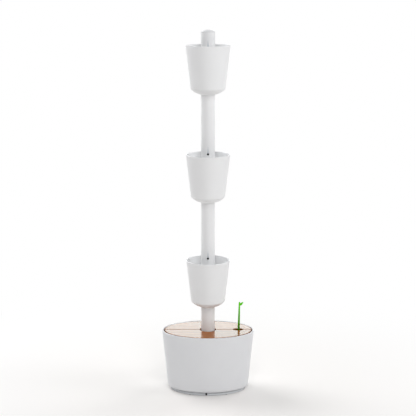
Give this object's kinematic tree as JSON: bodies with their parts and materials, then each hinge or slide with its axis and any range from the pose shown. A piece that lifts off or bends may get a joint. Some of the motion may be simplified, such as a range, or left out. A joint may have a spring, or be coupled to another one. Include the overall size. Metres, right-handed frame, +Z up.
{
  "type": "vertical planter",
  "caption": "Self-watering tower planter: oval water tank with a split wooden lid, a tube column carrying stacked conical pots, a pump, and a sprout-shaped level indicator.",
  "frame": {"origin": "floor level under the column's axis, at the middle of the oval tank", "axes": "+Z up along the column, +X along the tank's long axis towards the fill hole, -Y to the front"},
  "size_m": [0.4038, 0.2786, 1.578],
  "materials": {
    "white_plastic": "satin moulded white",
    "plinth_plastic": "matt moulded pale grey",
    "lid_wood": "gloss varnished, grain along the long axis",
    "sprout_green": "gloss moulded green",
    "float_foam": "closed cell, pale",
    "black_plastic": "matt moulded black",
    "controller_plastic": "matt moulded grey",
    "board": "green board",
    "hose": "soft black hose",
    "cable_sheath": "black sheath",
    "soft_rubber": "soft black rubber",
    "steel": "stainless"
  },
  "bodies": {
    "tank": {"tank_shell": "white_plastic", "plinth_ring": "plinth_plastic", "foot_pads": "soft_rubber", "power_inlet": "black_plastic", "tower_socket": "white_plastic", "socket_screws": "steel", "pump_body": "black_plastic", "pump_cover": "black_plastic", "pump_shaft": "steel", "pump_screws": "steel", "suction_cups": "soft_rubber", "level_guide": "white_plastic", "guide_cap": "white_plastic", "cable_standpipe": "white_plastic", "controller_case": "controller_plastic", "controller_cover": "controller_plastic", "circuit_board": "board", "controller_screws": "steel", "supply_cable": "cable_sheath", "pump_cable": "cable_sheath", "cable_grommet": "soft_rubber", "riser_hose": "hose"},
    "front_lid": {"lid_front": "lid_wood"},
    "rear_lid": {"lid_rear": "lid_wood"},
    "impeller": {"pump_impeller": "black_plastic"},
    "level_indicator": {"level_float": "float_foam", "sprout": "sprout_green"},
    "lower_module": {"pot_lower": "white_plastic", "column_lower": "white_plastic", "drop_tube_lower": "white_plastic", "tube_connector_lower": "white_plastic", "drip_nozzle_lower": "black_plastic", "drip_tee_lower": "black_plastic"},
    "middle_module": {"pot_middle": "white_plastic", "column_middle": "white_plastic", "drop_tube_middle": "white_plastic", "tube_connector_middle": "white_plastic", "drip_nozzle_middle": "black_plastic", "drip_tee_middle": "black_plastic", "feed_hose_middle": "hose"},
    "upper_module": {"pot_upper": "white_plastic", "column_upper": "white_plastic", "drop_tube_upper": "white_plastic", "tube_connector_upper": "white_plastic", "drip_nozzle_upper": "black_plastic", "drip_tee_upper": "black_plastic", "feed_hose_upper": "hose"},
    "cap": {"top_cap": "white_plastic"}
  },
  "joints": [
    {"name": "front_lid_lift", "type": "slide", "parent": "tank", "child": "front_lid", "axis": [0, 0, 1], "range_m": [0, 0.06]},
    {"name": "rear_lid_lift", "type": "slide", "parent": "tank", "child": "rear_lid", "axis": [0, 0, 1], "range_m": [0, 0.06]},
    {"name": "level_rise", "type": "slide", "parent": "tank", "child": "level_indicator", "axis": [0, 0, 1], "range_m": [0, 0.14]},
    {"name": "impeller_spin", "type": "hinge", "parent": "tank", "child": "impeller", "pos_m": [-0.108, 0, 0.051], "axis": [0, 1, 0], "continuous": true},
    {"name": "lower_module_lift", "type": "slide", "parent": "tank", "child": "lower_module", "axis": [0, 0, 1], "range_m": [0, 0.06]},
    {"name": "middle_module_lift", "type": "slide", "parent": "lower_module", "child": "middle_module", "axis": [0, 0, 1], "range_m": [0, 0.06]},
    {"name": "upper_module_lift", "type": "slide", "parent": "middle_module", "child": "upper_module", "axis": [0, 0, 1], "range_m": [0, 0.06]},
    {"name": "cap_lift", "type": "slide", "parent": "upper_module", "child": "cap", "axis": [0, 0, 1], "range_m": [0, 0.03]}
  ]
}
